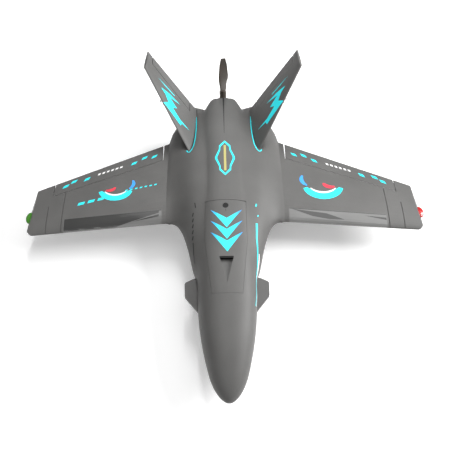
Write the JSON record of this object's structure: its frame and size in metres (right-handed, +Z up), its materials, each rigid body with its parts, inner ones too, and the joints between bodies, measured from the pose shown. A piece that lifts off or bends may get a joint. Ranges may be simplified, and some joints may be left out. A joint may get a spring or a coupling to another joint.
{
  "type": "rc foam airplane",
  "caption": "Foam radio-controlled aeroplane with blended delta wings, canards, canted fins, hinged control surfaces, lift-up bay hatch and a pusher propeller.",
  "frame": {"origin": "on the ground below the middle of the aircraft's box", "axes": "+Z up, nose towards -Y, port wing towards +X"},
  "size_m": [0.86, 0.732, 0.2376],
  "materials": {
    "aluminium": "turned",
    "arm_plastic": "white nylon",
    "battery_wrap": "shrink wrap",
    "bell_metal": "black anodised can",
    "black_plastic": "moulded plastic",
    "carbon": "pultruded carbon",
    "foam_grey": "moulded bead foam with a light matt skin",
    "guard_plastic": "glossy thin moulded plastic",
    "lamp_board": "small circuit board",
    "lens_green": "tinted clear plastic",
    "lens_red": "tinted clear plastic",
    "magnet_metal": "plated",
    "plywood": "thin plywood",
    "prop_plastic": "moulded nylon, satin",
    "servo_plastic": "black case",
    "skid_plastic": "hard black plastic",
    "steel": "plain steel",
    "webbing": "woven strap",
    "wire": "steel wire"
  },
  "bodies": {
    "airframe": {"aileron_servo_port": "servo_plastic", "aileron_servo_starboard": "servo_plastic", "battery": "battery_wrap", "battery_strap": "webbing", "battery_tray": "plywood", "belly_skid": "skid_plastic", "canard_port": "foam_grey", "canard_starboard": "foam_grey", "equipment_shelf": "plywood", "fin_port": "foam_grey", "fin_starboard": "foam_grey", "fuselage_half_port": "foam_grey", "fuselage_half_starboard": "foam_grey", "leading_edge_guard_port": "guard_plastic", "leading_edge_guard_starboard": "guard_plastic", "main_spar": "carbon", "motor_base": "aluminium", "motor_mount": "steel", "motor_screws": "steel", "rear_spar": "carbon", "receiver": "black_plastic", "rim_magnets": "magnet_metal", "ruddervator_servo_port": "servo_plastic", "ruddervator_servo_starboard": "servo_plastic", "speed_controller": "black_plastic", "tip_light_board_port": "lamp_board", "tip_light_board_starboard": "lamp_board", "tip_light_port": "lens_red", "tip_light_starboard": "lens_green", "wing_port": "foam_grey", "wing_starboard": "foam_grey"},
    "hatch": {"hatch": "foam_grey", "hatch_magnets": "magnet_metal"},
    "latch": {"latch_knob": "black_plastic", "latch_cam": "black_plastic"},
    "propulsion": {"motor_bell": "bell_metal", "motor_shaft": "steel", "propeller_adapter": "bell_metal", "propeller": "prop_plastic", "propeller_nut": "aluminium"},
    "aileron_port": {"aileron_port": "foam_grey", "aileron_horn_port": "arm_plastic"},
    "aileron_servo_arm_port": {"aileron_servo_arm_port": "arm_plastic"},
    "aileron_pushrod_port": {"aileron_pushrod_port": "wire"},
    "ruddervator_port": {"ruddervator_port": "foam_grey", "ruddervator_horn_port": "arm_plastic"},
    "ruddervator_servo_arm_port": {"ruddervator_servo_arm_port": "arm_plastic"},
    "ruddervator_pushrod_port": {"ruddervator_pushrod_port": "wire"},
    "aileron_starboard": {"aileron_starboard": "foam_grey", "aileron_horn_starboard": "arm_plastic"},
    "aileron_servo_arm_starboard": {"aileron_servo_arm_starboard": "arm_plastic"},
    "aileron_pushrod_starboard": {"aileron_pushrod_starboard": "wire"},
    "ruddervator_starboard": {"ruddervator_starboard": "foam_grey", "ruddervator_horn_starboard": "arm_plastic"},
    "ruddervator_servo_arm_starboard": {"ruddervator_servo_arm_starboard": "arm_plastic"},
    "ruddervator_pushrod_starboard": {"ruddervator_pushrod_starboard": "wire"}
  },
  "joints": [
    {"name": "propeller_spin", "type": "hinge", "parent": "airframe", "child": "propulsion", "pos_m": [0, 0.3583, 0.1095], "axis": [0, 1, 0], "continuous": true},
    {"name": "hatch_tilt", "type": "hinge", "parent": "airframe", "child": "hatch", "pos_m": [0, -0.17165, 0.12645], "axis": [1, 0, 0], "range_deg": [0, 50]},
    {"name": "latch_turn", "type": "hinge", "parent": "hatch", "child": "latch", "pos_m": [0, 0.02, 0.121], "axis": [0, 0, 1], "range_deg": [0, 90]},
    {"name": "aileron_hinge_port", "type": "hinge", "parent": "airframe", "child": "aileron_port", "pos_m": [0.139, 0.171, 0.09347], "axis": [0.9317, -0.363, -0.0108], "range_deg": [-22, 22]},
    {"name": "aileron_servo_port", "type": "hinge", "parent": "airframe", "child": "aileron_servo_arm_port", "pos_m": [0.21913, 0.09042, 0.08535], "axis": [0.9317, -0.363, -0.0108], "range_deg": [-22, 22]},
    {"name": "aileron_rod_port", "type": "hinge", "parent": "aileron_servo_arm_port", "child": "aileron_pushrod_port", "pos_m": [0.21893, 0.09049, 0.06535], "axis": [0.9317, -0.363, -0.0108], "range_deg": [-22, 22]},
    {"name": "ruddervator_hinge_port", "type": "hinge", "parent": "airframe", "child": "ruddervator_port", "pos_m": [0.07823, 0.2855, 0.12845], "axis": [0.5829, 0.387, 0.7145], "range_deg": [-22, 22]},
    {"name": "ruddervator_servo_port", "type": "hinge", "parent": "airframe", "child": "ruddervator_servo_arm_port", "pos_m": [0.12931, 0.27674, 0.1783], "axis": [0.5829, 0.387, 0.7145], "range_deg": [-22, 22]},
    {"name": "ruddervator_rod_port", "type": "hinge", "parent": "ruddervator_servo_arm_port", "child": "ruddervator_pushrod_port", "pos_m": [0.14141, 0.27775, 0.16788], "axis": [0.5829, 0.387, 0.7145], "range_deg": [-22, 22]},
    {"name": "aileron_hinge_starboard", "type": "hinge", "parent": "airframe", "child": "aileron_starboard", "pos_m": [-0.139, 0.171, 0.09347], "axis": [0.9317, 0.363, 0.0108], "range_deg": [-22, 22]},
    {"name": "aileron_servo_starboard", "type": "hinge", "parent": "airframe", "child": "aileron_servo_arm_starboard", "pos_m": [-0.21913, 0.09042, 0.08535], "axis": [0.9317, 0.363, 0.0108], "range_deg": [-22, 22]},
    {"name": "aileron_rod_starboard", "type": "hinge", "parent": "aileron_servo_arm_starboard", "child": "aileron_pushrod_starboard", "pos_m": [-0.21893, 0.09049, 0.06535], "axis": [0.9317, 0.363, 0.0108], "range_deg": [-22, 22]},
    {"name": "ruddervator_hinge_starboard", "type": "hinge", "parent": "airframe", "child": "ruddervator_starboard", "pos_m": [-0.07823, 0.2855, 0.12845], "axis": [0.5829, -0.387, -0.7145], "range_deg": [-22, 22]},
    {"name": "ruddervator_servo_starboard", "type": "hinge", "parent": "airframe", "child": "ruddervator_servo_arm_starboard", "pos_m": [-0.12931, 0.27674, 0.1783], "axis": [0.5829, -0.387, -0.7145], "range_deg": [-22, 22]},
    {"name": "ruddervator_rod_starboard", "type": "hinge", "parent": "ruddervator_servo_arm_starboard", "child": "ruddervator_pushrod_starboard", "pos_m": [-0.14141, 0.27775, 0.16788], "axis": [0.5829, -0.387, -0.7145], "range_deg": [-22, 22]}
  ],
  "couplings": [
    {"joint": "aileron_servo_port", "follows": "aileron_hinge_port", "ratio": 1},
    {"joint": "aileron_rod_port", "follows": "aileron_hinge_port", "ratio": -1},
    {"joint": "ruddervator_servo_port", "follows": "ruddervator_hinge_port", "ratio": 1},
    {"joint": "ruddervator_rod_port", "follows": "ruddervator_hinge_port", "ratio": -1},
    {"joint": "aileron_servo_starboard", "follows": "aileron_hinge_starboard", "ratio": 1},
    {"joint": "aileron_rod_starboard", "follows": "aileron_hinge_starboard", "ratio": -1},
    {"joint": "ruddervator_servo_starboard", "follows": "ruddervator_hinge_starboard", "ratio": 1},
    {"joint": "ruddervator_rod_starboard", "follows": "ruddervator_hinge_starboard", "ratio": -1}
  ]
}
